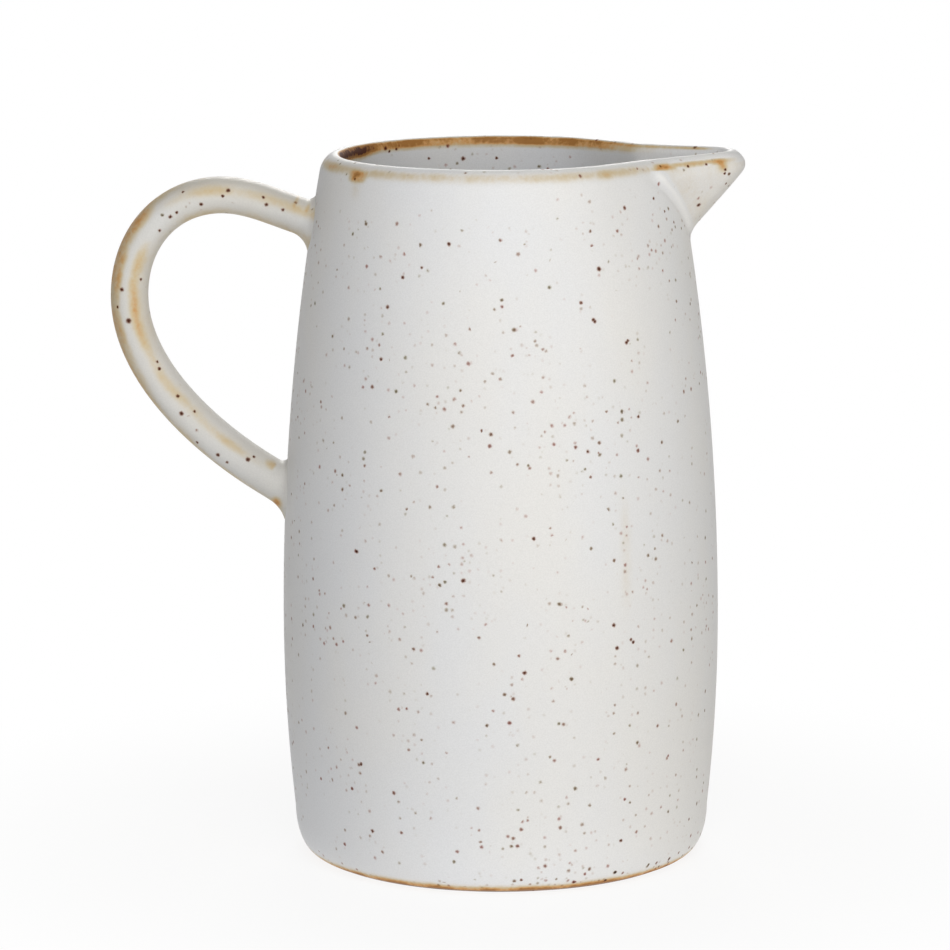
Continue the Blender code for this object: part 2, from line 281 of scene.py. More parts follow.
print("group", skin.name, "with", len(skin.nodes), "nodes")

# %% [markdown]
# ## The outline of the wall
# A thrown pot is round, so its wall is one outline turned about the axis. The outline runs out under
# the body to the edge of the glaze, up the outside, over the rolled lip, and down the inside to the
# middle of the floor. Two parabolas that meet upright at the belly give the barrel. A curve drawn
# through a few points would do as well, but these also tell where the wall is at any height.

# %% The side of the barrel
wall_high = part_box("body_wall")[1]
BELLY_RADIUS = wall_high.y
LIP_TOP = wall_high.z
RIM_RADIUS = 49.6 * MM       # where the barrel would end if the lip weren't rolled
CREST_RADIUS = 46.0 * MM     # the highest line of the lip
BELLY_HEIGHT = 65.5 * MM
WALL_FOOT_RADIUS = 57.6 * MM     # where it would end below if its corner weren't round
LIP_OUTSIDE = 5.0 * MM       # how far down the roll of the lip reaches


def wall_radius(height):
    """The barrel, without its rolled lip and its round lower corner."""
    if height > BELLY_HEIGHT:
        share = (height - BELLY_HEIGHT) / (LIP_TOP - BELLY_HEIGHT)
        return BELLY_RADIUS - (BELLY_RADIUS - RIM_RADIUS) * share ** 2
    share = (BELLY_HEIGHT - height) / BELLY_HEIGHT
    return BELLY_RADIUS - (BELLY_RADIUS - WALL_FOOT_RADIUS) * share ** 2


def outside_radius(height):
    """The outside of the wall, which leans in where the lip is rolled."""
    rise = min(1.0, max(0.0, 1 - (LIP_TOP - height) / LIP_OUTSIDE))
    return wall_radius(height) - (RIM_RADIUS - CREST_RADIUS) * (1 - sqrt(1 - rise ** 2))


print("barrel is", round(2 * BELLY_RADIUS / MM, 1), "mm across and", round(LIP_TOP / MM, 1), "mm tall")

# %% The outline from foot to floor
FOOT_RADIUS = 54.0 * MM
CORNER_HEIGHT = 12.9 * MM
GLAZE_EDGE = 0.6 * MM        # the glaze stops this far above the table
WALL = 5.8 * MM
LIP_INSIDE = 2.6 * MM        # how far down the inner roll of the lip reaches
FLOOR_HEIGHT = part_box("base_disc")[1].z
COVE_RADIUS = 7.0 * MM
FINE_FROM = 168.0 * MM       # rows are close together above this, where the spout is
CORNER_ROWS = 14             # rows of points in each stretch
OUTSIDE_ROWS = (44, 46)      # below and above that height
LIP_ROWS = (16, 10)          # outer and inner roll
INSIDE_ROWS = (26, 14)
COVE_ROWS = 6
FLOOR_ROWS = 8


def spread(first, last, count):
    """Even steps from the first value, which is left out, to the last one."""
    return [first + (last - first) * step / count for step in range(1, count + 1)]


def lip_outline():
    """Over the lip: a tall roll leaning in from the outside, then a tight one down the inside."""
    outer = [LIP_TOP - LIP_OUTSIDE * (1 - sin(turn)) for turn in spread(0.0, pi / 2, LIP_ROWS[0])]
    points = [(outside_radius(height), height) for height in outer]
    inner_top = LIP_TOP - LIP_INSIDE
    overhang = CREST_RADIUS - (wall_radius(inner_top) - WALL)
    for turn in spread(0.0, pi / 2, LIP_ROWS[1]):
        points.append((CREST_RADIUS - overhang * sin(turn), inner_top + LIP_INSIDE * cos(turn)))
    return points


def wall_outline():
    corner_width = wall_radius(CORNER_HEIGHT) - FOOT_RADIUS
    corner_rise = CORNER_HEIGHT - GLAZE_EDGE
    cove_top = FLOOR_HEIGHT + COVE_RADIUS
    cove_middle = wall_radius(cove_top) - WALL - COVE_RADIUS
    points = [(0.0, GLAZE_EDGE), (FOOT_RADIUS * 0.5, GLAZE_EDGE), (FOOT_RADIUS, GLAZE_EDGE)]
    for turn in spread(0.0, pi / 2, CORNER_ROWS):
        points.append((FOOT_RADIUS + corner_width * sin(turn), CORNER_HEIGHT - corner_rise * cos(turn)))
    outside = spread(CORNER_HEIGHT, FINE_FROM, OUTSIDE_ROWS[0])
    outside += spread(FINE_FROM, LIP_TOP - LIP_OUTSIDE, OUTSIDE_ROWS[1])
    points += [(wall_radius(height), height) for height in outside] + lip_outline()
    inside = spread(LIP_TOP - LIP_INSIDE, FINE_FROM, INSIDE_ROWS[0])
    inside += spread(FINE_FROM, cove_top, INSIDE_ROWS[1])
    points += [(wall_radius(height) - WALL, height) for height in inside]
    for turn in spread(0.0, pi / 2, COVE_ROWS):
        radius = cove_middle + COVE_RADIUS * cos(turn)
        points.append((radius, FLOOR_HEIGHT + COVE_RADIUS * (1 - sin(turn))))
    points += [(cove_middle * share, FLOOR_HEIGHT) for share in spread(1.0, 0.0, FLOOR_ROWS)]
    return points


outline = wall_outline()
print("wall outline has", len(outline), "points")

# %% [markdown]
# ## The spout, pulled from the rim
# The potter draws the rim out to a nose and presses the rim in on both sides of it. It could be a
# separate trough joined on, but the inside then needs a second joint. Here the turned wall itself is
# pushed out, inside and outside together, so the lip flows round the nose without a break. Seen from
# above, the spout is a rounded V: two straight arms that touch a nose circle. Lower down the nose
# moves back along a sloping keel, until the spout has gone into the wall.

# %% The nose and the arms
spout_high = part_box("spout")[1]
SPOUT_TIP = spout_high.x
SPOUT_WIDTH = 46.4 * MM      # outside, where the arms meet the rim
NOSE_RADIUS = 10.5 * MM
NOSE_SWELL = 1.8 * MM        # the nose is this much rounder halfway down the keel
SWELL_DEPTH = 18.0 * MM
TIP_ROLL = 0.15 * MM         # what the roll of the lip takes off the tip
KEEL_ANGLE = 47.8            # degrees, keel against level
KEEL_TOP = 194.9 * MM        # where the keel turns up into the lip
KEEL_SOFTNESS = 1.1 * MM
PULL_TOP = 197.1 * MM        # above this the lip is carried out whole


def soft_ramp(value, softness):
    """Zero below zero and the value itself above, with a soft bend between them."""
    return (value + sqrt(value ** 2 + softness ** 2)) / 2


def nose_radius(height):
    share = min(1.0, max(0.0, (PULL_TOP - height) / SWELL_DEPTH))
    return NOSE_RADIUS + NOSE_SWELL * sin(pi * share)


def nose_centre(height):
    back = soft_ramp(KEEL_TOP - height, KEEL_SOFTNESS) - soft_ramp(KEEL_TOP - PULL_TOP, KEEL_SOFTNESS)
    return SPOUT_TIP + TIP_ROLL - nose_radius(height) - back / tan(radians(KEEL_ANGLE))


def arm_angle():
    """The direction square to an arm, from the arm's two ends: the rim and the nose circle."""
    half_width = SPOUT_WIDTH / 2
    back = sqrt(wall_radius(PULL_TOP) ** 2 - half_width ** 2) - nose_centre(PULL_TOP)
    return atan2(half_width, back) - acos(NOSE_RADIUS / hypot(back, half_width))


ARM_ANGLE = arm_angle()


def spout_radius(azimuth, height):
    """How far from the axis the outside of the spout lies in one direction."""
    turn = abs(azimuth)
    centre = nose_centre(height)
    nose = nose_radius(height)
    across = centre * sin(turn)
    if across < nose:
        reach = centre * cos(turn) + sqrt(nose ** 2 - across ** 2)
        if atan2(reach * sin(turn), reach * cos(turn) - centre) < ARM_ANGLE:
            return reach
    if turn > ARM_ANGLE:
        return 0.0
    return (centre * cos(ARM_ANGLE) + nose) / cos(turn - ARM_ANGLE)


print("spout arms face", round(ARM_ANGLE * 180 / pi, 1), "degrees from the nose")

# %% The pinch and the joint
PINCH = 1.6 * MM             # how far the rim is pressed in beside the spout
PINCH_AZIMUTH = 44.0         # degrees from the middle of the spout
PINCH_SPREAD = 16.0
PINCH_DEPTH = 20.0 * MM      # how far down the wall the pinch can be felt
SEAM_RIDGE = (0.7 * MM, 0.3 * MM)                   # luting clay left along the joint: height and place
RIDGE_SIDES = (0.6 * MM, 1.5 * MM)                  # its width towards the wall and towards the spout
SEAM_HOLLOW = (0.25 * MM, -1.3 * MM, 0.8 * MM)      # the groove that a tool left beside it
SEAM_END = radians(6.0)      # both fade out this far from the middle of the keel


def pinch(azimuth, height):
    turn = (abs(azimuth) - radians(PINCH_AZIMUTH)) / radians(PINCH_SPREAD)
    drop = (LIP_TOP - height) / PINCH_DEPTH
    return PINCH * exp(-turn ** 2) * exp(-drop ** 2)


def seam_relief(azimuth, lead):
    """The ridge and the groove along the joint."""
    height, place = SEAM_RIDGE
    ridge = height * exp(-((lead - place) / RIDGE_SIDES[lead > place]) ** 2)
    groove = SEAM_HOLLOW[0] * exp(-((lead - SEAM_HOLLOW[1]) / SEAM_HOLLOW[2]) ** 2)
    return (ridge - groove) * (1 - exp(-(azimuth / SEAM_END) ** 2))


def spout_lead(azimuth, height):
    """How far the spout stands before the pinched wall; the joint is where this is zero."""
    level = min(height, PULL_TOP)
    return spout_radius(azimuth, level) - (wall_radius(level) - pinch(azimuth, level))


print("rim pressed in by", PINCH / MM, "mm on both sides of the spout")

# %% The push
SPOUT_RISE = spout_high.z - LIP_TOP
SEAM_SOFTNESS = 1.3 * MM     # how far the joint between the wall and the spout is smoothed
KEEL_FILLET = 1.6 * MM       # more of it under the keel
KEEL_SPREAD = radians(7.0)


def push(azimuth, height, outside):
    """How far the wall is pushed outwards at this place."""
    dent = pinch(azimuth, min(height, PULL_TOP))
    lead = spout_lead(azimuth, height)
    under_keel = exp(-(azimuth / KEEL_SPREAD) ** 2)
    softness = SEAM_SOFTNESS + KEEL_FILLET * under_keel
    bulge = lead if lead >= softness else max(0.0, lead + softness) ** 2 / (4 * softness)
    shown = min(1.0, (LIP_TOP - height) / LIP_OUTSIDE) if outside else 0.0
    return bulge - dent + shown * seam_relief(azimuth, lead)


def pulled_place(azimuth, radius, height, outside=True):
    """Where a point of the turned wall ends up once the spout has been pulled."""
    move, lift = 0.0, 0.0
    if height > FINE_FROM and radius > RIM_RADIUS / 2:
        move = push(azimuth, height, outside)
        pulled = min(1.0, max(0.0, move / (SPOUT_TIP - wall_radius(PULL_TOP))))
        lift = SPOUT_RISE * pulled * (height - FINE_FROM) / (LIP_TOP - FINE_FROM)
    return Vector(((radius + move) * cos(azimuth), (radius + move) * sin(azimuth), height + lift))


print("nose pushed out by", round(push(0.0, PULL_TOP, True) / MM, 1), "mm")

# %% [markdown]
# ## Turning the body
# `spin` sweeps the outline about the axis. It runs twice: in fine steps across the spout, where the
# push needs them, and in coarse steps round the rest. Each point keeps its distance from the crest
# of the lip in an attribute, minus outside and plus inside, because the glaze is thin near there.

# %% Turn an outline
MERGE_DISTANCE = 0.002 * MM


def turn_outline(points, sectors):
    """Spins a wire of (radius, height) points through sectors of (start, end, steps)."""
    sheet = bmesh.new()
    crest = sheet.verts.layers.float.new("from_crest")
    start = sectors[0][0]
    wire = []
    for radius, height in points:
        wire.append(sheet.verts.new((radius * cos(start), radius * sin(start), height)))
    travelled = [0.0]
    for before, after in zip(points, points[1:]):
        travelled.append(travelled[-1] + hypot(after[0] - before[0], after[1] - before[1]))
    top = max(range(len(points)), key=lambda index: points[index][1])
    for vert, length in zip(wire, travelled):
        vert[crest] = (length - travelled[top]) / MM
    geom = wire + [sheet.edges.new(pair) for pair in zip(wire, wire[1:])]
    for first, last, steps in sectors:
        swept = bmesh.ops.spin(sheet, geom=geom, axis=(0, 0, 1), angle=last - first, steps=steps)
        geom = swept["geom_last"]
    bmesh.ops.remove_doubles(sheet, verts=sheet.verts, dist=MERGE_DISTANCE)
    bmesh.ops.recalc_face_normals(sheet, faces=sheet.faces)
    return sheet


print("each step of the body's turn adds", len(outline), "points")

# %% Turn the wall and pull the spout
SPOUT_SECTOR = radians(38.0)     # to each side of the nose
FINE_STEPS = 210
COARSE_STEPS = 248

body_sheet = turn_outline(outline, [
    (-SPOUT_SECTOR, SPOUT_SECTOR, FINE_STEPS),
    (SPOUT_SECTOR, 2 * pi - SPOUT_SECTOR, COARSE_STEPS),
])
crest_layer = body_sheet.verts.layers.float["from_crest"]
for vert in body_sheet.verts:
    x, y, height = vert.co
    vert.co = pulled_place(atan2(y, x), hypot(x, y), height, vert[crest_layer] < 0)
print("turned body has", len(body_sheet.verts), "points and", len(body_sheet.faces), "faces")

# %% [markdown]
# ## Thin glaze on the lip and the foot, painted shade and sheen on the spout
# On the real jug the inside of the lip is a strong brown line, the outside a pale straw one, and the
# edge above the foot another line. Fingers wiped the wet glaze in a few places, which fired to
# orange or brown patches. Along the joint of the spout the glaze has pooled, and the whiter band
# there is also a painted highlight; the spout's outside is tinted darker as painted shade. It could
# be painted on an image, but the jug has no seams to unwrap it along. One attribute holds all of this
# as thinness, worked out from where a point lies: 0 is the plain cream, 1 is ochre, 2 is burnt brown.

# %% Thin glaze on the lip
INNER_LINE = (2.15, 1.3, 1.08)     # millimetres from the crest, half width, thinness
INNER_EDGE = (1.25, 0.45, 0.30)    # the upper edge of that line is thinner still
OUTER_LINE = (-4.0, 1.6, 0.29)
SPOUT_LINE = (-4.0, 0.85, 0.60)
FAR_LINE = (1.3, 0.5, 0.42)        # inside the spout only a narrow line is left
SPOUT_INSIDE = radians(46.0)       # measured from the nose
CLEAN_NOSE = radians(8.5)          # the nose itself is thickly glazed
SPOUT_BLEND = 2.0 * MM             # reach over which the wall's glaze turns into the spout's
# Wiped marks: azimuth in degrees, millimetres from the crest, half length, half height, thinness.
PATCHES = [                        # with a crisp edge
    (-141.0, -5.4, 3.4, 1.6, 0.82),
    (-25.6, -3.9, 1.9, 0.9, 0.42),
    (164.5, 2.8, 15.0, 1.8, 1.25),
    (159.0, 3.0, 7.0, 1.0, 0.60),
    (12.0, 1.2, 3.0, 0.5, 0.20),
    (-30.5, -4.2, 1.1, 1.2, -0.20),
    (-20.0, -4.5, 1.3, 0.6, -0.22),
    (-16.5, -3.7, 1.2, 0.5, 0.20),
    (-12.5, -4.6, 0.9, 0.6, -0.25),
    (-9.0, 0.3, 5.0, 0.4, 0.30),
]
BLEEDS = [                         # with a soft edge
    (-141.0, -8.5, 2.4, 3.0, 0.16),
    (-160.0, -4.0, 5.0, 1.3, 0.24),
    (-53.0, -4.2, 2.2, 1.2, 0.22),
    (-29.0, -4.4, 2.2, 0.9, 0.30),
    (-9.4, -5.3, 0.8, 1.5, 0.46),
    (112.0, 2.0, 8.0, 1.4, -0.25),
]


def bump_at(value, middle, half_width):
    return exp(-((value - middle) / half_width) ** 2)


def band_at(value, middle, half_width):
    """Like a bump, with a flat top and steep sides."""
    return exp(-((value - middle) / half_width) ** 4)


def wiped(marks, shape, azimuth, from_crest):
    total = 0.0
    for place, middle, half_length, half_height, amount in marks:
        away = (azimuth - radians(place) + pi) % (2 * pi) - pi
        along = away * RIM_RADIUS / MM
        total += amount * shape(along, 0.0, half_length) * shape(from_crest, middle, half_height)
    return total


def lip_thinness(azimuth, from_crest, radius):
    over_spout = 1.0 - exp(-max(0.0, radius - wall_radius(PULL_TOP)) / SPOUT_BLEND)
    spout_line = over_spout * (1.0 - band_at(azimuth, 0.0, CLEAN_NOSE))
    inside_spout = band_at(azimuth, 0.0, SPOUT_INSIDE) ** 2
    inner = INNER_LINE[2] * band_at(from_crest, *INNER_LINE[:2])
    inner += INNER_EDGE[2] * bump_at(from_crest, *INNER_EDGE[:2])
    far = FAR_LINE[2] * (1.0 - band_at(azimuth, 0.0, CLEAN_NOSE)) * bump_at(from_crest, *FAR_LINE[:2])
    total = (1.0 - inside_spout) * inner + inside_spout * far
    total += (1.0 - over_spout) * OUTER_LINE[2] * bump_at(from_crest, *OUTER_LINE[:2])
    total += spout_line * SPOUT_LINE[2] * band_at(from_crest, *SPOUT_LINE[:2])
    total += wiped(PATCHES, band_at, azimuth, from_crest) + wiped(BLEEDS, bump_at, azimuth, from_crest)
    return max(0.0, total)


print("wiped marks on the lip:", len(PATCHES) + len(BLEEDS))

# %% Thin glaze lower down, and painted shade and sheen on the spout
FOOT_LINE = (1.5 * MM, 1.12)       # height above the edge of the glaze, thinness
FOOT_GLOW = (2.0 * MM, 0.7 * MM, 0.16)     # a fainter line over it: height, half width, thinness
SPOUT_SHADE = 0.12                  # the spout is tinted a little darker all over: painted shade, as its face turns down from the light
SEAM_POOL_AND_SHEEN = (0.15 * MM, 0.65 * MM, 0.55)   # a whiter band along its joint, pooled glaze and a painted highlight on the ridge: place, half width, amount
# A run of thin glaze on the belly: azimuth and height, half sizes of both, thinness.
BELLY_RUN = (-56.0, 95.0 * MM, 2.0, 17.0 * MM, 0.13)


def spout_shade_and_sheen(azimuth, radius, height):
    # Painted shade: the spout's outside is tinted darker, as its face turns down from the light.
    on_spout = min(1.0, max(0.0, (radius - wall_radius(height)) / SPOUT_BLEND))
    # A whiter band along the joint: pooled glaze, and a painted highlight where the seam ridge would
    # catch the light.
    pool_and_sheen = SEAM_POOL_AND_SHEEN[2] * bump_at(spout_lead(azimuth, height), *SEAM_POOL_AND_SHEEN[:2])
    pool_and_sheen *= 1.0 - bump_at(azimuth, 0.0, SEAM_END)
    return SPOUT_SHADE * on_spout * (1.0 - pool_and_sheen) - pool_and_sheen


def run_thinness(azimuth, height):
    place, middle, half_width, half_height, amount = BELLY_RUN
    across = bump_at(azimuth, radians(place), radians(half_width))
    return amount * across * bump_at(height, middle, half_height)


def foot_thinness(above_edge):
    glow = FOOT_GLOW[2] * bump_at(above_edge, *FOOT_GLOW[:2])
    return FOOT_LINE[1] * band_at(above_edge, 0.0, FOOT_LINE[0]) + glow


print("foot line is", FOOT_LINE[0] / MM, "mm high")

# %% Mark where the glaze is thin, with the spout's painted shade and sheen
NEAR_LIP = 14.0                    # millimetres from the crest

thin_shade_sheen_layer = body_sheet.verts.layers.float.new("thinness_shade_sheen")
for vert in body_sheet.verts:
    x, y, height = vert.co
    if abs(vert[crest_layer]) < NEAR_LIP:
        vert[thin_shade_sheen_layer] = lip_thinness(atan2(y, x), vert[crest_layer], hypot(x, y))
    elif hypot(x, y) > FOOT_RADIUS - WALL:
        vert[thin_shade_sheen_layer] = foot_thinness(height - GLAZE_EDGE) + run_thinness(atan2(y, x), height)
    if height > FINE_FROM and vert[crest_layer] < -LIP_OUTSIDE / MM:
        vert[thin_shade_sheen_layer] += spout_shade_and_sheen(atan2(y, x), hypot(x, y), height)
print("thinnest glaze:", round(max(vert[thin_shade_sheen_layer] for vert in body_sheet.verts), 2))

# %% [markdown]
# ## Where the grains gather
# Few grains show in the thick glaze under the lip, half as many as elsewhere on the spout, and many
# in a narrow belt above the foot. The shader could work that out from heights, but a second attribute
# that scales the number of grains leaves it without special cases.

# %% Mark how many grains show
BARE_BELT = (-9.0, 6.5, 0.85)      # millimetres from the crest, half width, share of grains missing
FOOT_CROWD = (2.7 * MM, 1.1 * MM, 4.0)     # height above the edge of the glaze, half width, more grains
SPOUT_GRAINS = 0.50                # share of grains that show on the spout


def grain_share(from_crest, above_edge, radius):
    missing = BARE_BELT[2] * band_at(from_crest, *BARE_BELT[:2])
    crowd = FOOT_CROWD[2] * bump_at(above_edge, *FOOT_CROWD[:2])
    on_spout = min(1.0, max(0.0, (radius - wall_radius(above_edge)) / MM))
    wall_share = 1.0 - missing + (crowd if from_crest < 0 else 0.0)
    return wall_share + (SPOUT_GRAINS - wall_share) * on_spout


grain_layer = body_sheet.verts.layers.float.new("grains")
for vert in body_sheet.verts:
    x, y, height = vert.co
    vert[grain_layer] = grain_share(vert[crest_layer], height - GLAZE_EDGE, hypot(x, y))
print("most grains:", round(max(vert[grain_layer] for vert in body_sheet.verts), 2))

# %% [markdown]
# ## Body and spout as two members
# The wall and the spout are separate solids in the frame, so the surface is cut in two where the
# spout leaves the seam. `bisect_plane` cuts, and the open cut is filled, so both stay closed. The
# cut lies on the straight part of the spout, where it doesn't show.

# %% Cut the spout off the body
SPOUT_CUT_PLACE = Vector((52.0 * MM, 0.0, 190.0 * MM))
SPOUT_CUT_FACING = Vector((0.919, 0.0, 0.395))
CUT_TOLERANCE = 1e-7
SHARP_ANGLE = radians(50.0)      # edges sharper than this are drawn sharp


def cut_away(sheet, place, facing):
    """Removes what lies in front of a plane and closes the cut."""
    geom = sheet.verts[:] + sheet.edges[:] + sheet.faces[:]
    cut = bmesh.ops.bisect_plane(
        sheet, geom=geom, plane_co=place, plane_no=facing, clear_outer=True, dist=CUT_TOLERANCE
    )
    rim = [item for item in cut["geom_cut"] if isinstance(item, bmesh.types.BMEdge)]
    bmesh.ops.edgeloop_fill(sheet, edges=rim)


def as_piece(name, sheet):
    bmesh.ops.recalc_face_normals(sheet, faces=sheet.faces)
    mesh = bpy.data.meshes.new(name)
    sheet.to_mesh(mesh)
    sheet.free()
    mesh.shade_smooth()
    mesh.set_sharp_from_angle(angle=SHARP_ANGLE)
    piece = bpy.data.objects.new(name, mesh)
    bpy.context.scene.collection.objects.link(piece)
    return piece


spout_sheet = body_sheet.copy()
cut_away(body_sheet, SPOUT_CUT_PLACE, SPOUT_CUT_FACING)
cut_away(spout_sheet, SPOUT_CUT_PLACE, -SPOUT_CUT_FACING)
thrown_body = as_piece("thrown_body", body_sheet)
pouring_spout = as_piece("pouring_spout", spout_sheet)
print("body", len(thrown_body.data.polygons), "faces, spout", len(pouring_spout.data.polygons), "faces")

# %% [markdown]
# ## The bare foot
# The underside is wiped clean of glaze so that it doesn't stick to the kiln shelf. It is a low disc
# with a softened edge, a little narrower than the glaze that ends above it. A bevelled cylinder would
# do too, but the wall's own way of turning an outline is at hand.

# %% Turn the foot
FOOT_INSET = 0.5 * MM
FOOT_EDGE = 0.5 * MM         # softening of the lower edge
FOOT_OVERLAP = 0.4 * MM      # how far it runs up into the glazed body
FOOT_STEPS = 160


def foot_outline():
    edge = FOOT_RADIUS - FOOT_INSET
    points = [(edge * share, 0.0) for share in (0.0, 0.25, 0.5, 0.75, 0.95)]
    for turn in spread(-pi / 2, 0.0, 5):
        points.append((edge - FOOT_EDGE * (1 - cos(turn)), FOOT_EDGE * (1 + sin(turn))))
    top = GLAZE_EDGE + FOOT_OVERLAP
    return points + [(edge, top), (0.0, top)]


foot_sheet = turn_outline(foot_outline(), [(0.0, 2 * pi, FOOT_STEPS)])
bare_foot = as_piece("bare_foot", foot_sheet)
print("foot has", len(bare_foot.data.polygons), "faces")

# %% [markdown]
# ## The strap handle
# The strap was pulled from a lump of wet clay, bent into an ear and pressed on at both ends. Its
# path is the ear's four stations joined by smooth curves, and its section is an oval that is flatter
# on the outside. A ring of that section is extruded from station to station along the path.

# %% The ear's path
UPPER_ROOT = 181.0 * MM      # heights where the strap meets the wall
LOWER_ROOT = 104.8 * MM
UPPER_PITCH = 20.0           # degrees, rise of the strap as it leaves the wall
LOWER_PITCH = 32.0
STUB = 6.5 * MM              # straight run at each end
BURIED = 3.0 * MM            # how far the ends run on into the wall
CROWN = (25.3 * MM, 7.2 * MM)      # from the upper root: out, up
BACK = (51.7 * MM, -21.5 * MM)
NECK_ROUNDNESS = 0.35        # lengths of the curve's handles, as shares of each stretch
EAR_ROUNDNESS = 0.58
LEG_ROUNDNESS = 0.41
STUB_STATIONS = 32
CURVE_STATIONS = (30, 56, 64)


def on_wall(height):
    return Vector((-wall_radius(height), 0.0, height))


def away_from_wall(pitch):
    return Vector((-cos(radians(pitch)), 0.0, sin(radians(pitch))))


def strap_path():
    """Points along the middle of the strap, from inside the wall round to inside the wall."""
    upper, lower = on_wall(UPPER_ROOT), on_wall(LOWER_ROOT)
    out_up, out_low = away_from_wall(UPPER_PITCH), away_from_wall(LOWER_PITCH)
    top, foot = upper + STUB * out_up, lower + STUB * out_low
    crown = upper + Vector((-CROWN[0], 0.0, CROWN[1]))
    back = upper + Vector((-BACK[0], 0.0, BACK[1]))
    neck = NECK_ROUNDNESS * (top.x - crown.x)
    across = Vector((EAR_ROUNDNESS * (crown.x - back.x), 0.0, 0.0))
    down = Vector((0.0, 0.0, EAR_ROUNDNESS * (crown.z - back.z)))
    leg = LEG_ROUNDNESS * (back.z - foot.z)
    curves = [
        (top, top + neck * out_up, crown + Vector((neck, 0.0, 0.0)), crown),
        (crown, crown - across, back + down, back),
        (back, back - Vector((0.0, 0.0, leg)), foot + leg * out_low, foot),
    ]
    shares = [step / STUB_STATIONS for step in range(STUB_STATIONS + 1)]
    points = [upper.lerp(top, share) - (1 - share) * BURIED * out_up for share in shares[:-1]]
    for curve, count in zip(curves, CURVE_STATIONS):
        points += geometry.interpolate_bezier(*curve, count)[:-1]
    points += [foot.lerp(lower, share) - share * BURIED * out_low for share in shares]
    return points


path = strap_path()
path_length = sum((after - before).length for before, after in zip(path, path[1:]))
print("strap path:", len(path), "stations,", round(path_length / MM), "mm long")

# %% The strap's section
STRAP_THICKNESS = 10.3 * MM
STRAP_WIDTH = 13.6 * MM
FOOT_STOUTNESS = 1.097       # the strap is a little stouter at its lower end
STOUT_FROM = 0.375           # share of the way along where that begins
OUTSIDE_SQUARENESS = 2.2     # 2 is an ellipse, more is squarer
INSIDE_SQUARENESS = 2.0


def section_point(turn):
    """The strap's oval: x points away from the hand, y across the strap."""
    squareness = OUTSIDE_SQUARENESS if cos(turn) > 0 else INSIDE_SQUARENESS
    stretch = (abs(cos(turn)) ** squareness + abs(sin(turn)) ** squareness) ** (-1 / squareness)
    outwards = STRAP_THICKNESS / 2 * stretch * cos(turn)
    sideways = STRAP_WIDTH / 2 * stretch * sin(turn)
    return Vector((outwards, sideways, 0.0))


def station_matrix(index):
    """Where the section stands at a station: across the path, with its x axis to the outside."""
    ahead = path[min(index + 1, len(path) - 1)]
    behind = path[max(index - 1, 0)]
    tangent = (ahead - behind).normalized()
    outward = Vector((tangent.z, 0.0, -tangent.x))
    sideways = Vector((0.0, 1.0, 0.0))
    lower_share = max(0.0, (index / len(path) - STOUT_FROM) / (1.0 - STOUT_FROM))
    stoutness = 1.0 + (FOOT_STOUTNESS - 1.0) * lower_share
    turn = Matrix((outward, sideways, tangent)).transposed()
    return Matrix.LocRotScale(path[index], turn.to_quaternion(), Vector((stoutness,) * 3))


print("strap section:", round(STRAP_THICKNESS / MM, 1), "by", round(STRAP_WIDTH / MM, 1), "mm")

# %% Sweep the strap
SECTION_POINTS = 72

strap_sheet = bmesh.new()
along_layer = strap_sheet.verts.layers.float.new("along")
across_layer = strap_sheet.verts.layers.float.new("across")
ring = bmesh.ops.create_circle(strap_sheet, cap_ends=True, segments=SECTION_POINTS, radius=1.0)["verts"]
for vert in ring:
    vert.co = section_point(atan2(vert.co.y, vert.co.x))
    vert[across_layer] = 0.5 - vert.co.x / STRAP_THICKNESS
bmesh.ops.transform(strap_sheet, matrix=station_matrix(0), verts=ring)
rings = [ring]
edges = strap_sheet.edges[:]
for index in range(1, len(path)):
    grown = bmesh.ops.extrude_edge_only(strap_sheet, edges=edges)["geom"]
    ring = [item for item in grown if isinstance(item, bmesh.types.BMVert)]
    ring_set = set(ring)
    grown_edges = [item for item in grown if isinstance(item, bmesh.types.BMEdge)]
    edges = [edge for edge in grown_edges if set(edge.verts) <= ring_set]
    step = station_matrix(index) @ station_matrix(index - 1).inverted()
    bmesh.ops.transform(strap_sheet, matrix=step, verts=ring)
    for vert in ring:
        vert[along_layer] = index / (len(path) - 1)
    rings.append(ring)
bmesh.ops.edgeloop_fill(strap_sheet, edges=edges)
print("strap has", len(strap_sheet.verts), "points")

# %% [markdown]
# ## Soft roots
# Where the strap meets the wall, a finger has smoothed the wet clay into a hollow curve. Each point
# near the wall moves away from the middle of the strap by the height of a fillet's arc there, which
# follows the round wall better than a bevel along the joint would.

# %% Flare the strap's ends onto the wall
UPPER_FILLET = (3.8 * MM, -1.2 * MM)   # radius, and how much more of it is on the outside of the ear
LOWER_FILLET = (3.4 * MM, 0.9 * MM)
FILLET_SHARE = 0.96          # of a full arc, which would run out flat along the wall


def fillet_spread(distance, fillet):
    """How far the arc stands out at this distance from the wall."""
    if distance >= fillet:
        return 0.0
    depth = fillet - max(distance, 0.0)
    return fillet - sqrt(fillet ** 2 - (FILLET_SHARE * depth) ** 2)


def slide_on_wall(place, side, length):
    """Moves a point along the wall and keeps its distance from it."""
    distance = hypot(place.x, place.y) - wall_radius(place.z)
    facing = Vector((place.x, place.y, 0.0)).normalized()
    along_wall = (side - side.dot(facing) * facing).normalized()
    moved = place + length * along_wall
    radius = wall_radius(moved.z) + distance
    flat = Vector((moved.x, moved.y, 0.0)).normalized() * radius
    return Vector((flat.x, flat.y, moved.z))


for index, ring in enumerate(rings):
    upper_half = index < len(rings) / 2
    base, extra = UPPER_FILLET if upper_half else LOWER_FILLET
    outward = station_matrix(index).to_3x3().col[0].normalized()
    for vert in ring:
        distance = hypot(vert.co.x, vert.co.y) - wall_radius(vert.co.z)
        side = (vert.co - path[index]).normalized()
        length = fillet_spread(distance, base + extra * side.dot(outward))
        if length > 0.0:
            vert.co = slide_on_wall(vert.co, side, length)
print("fillets of", UPPER_FILLET[0] / MM, "and", LOWER_FILLET[0] / MM, "mm")
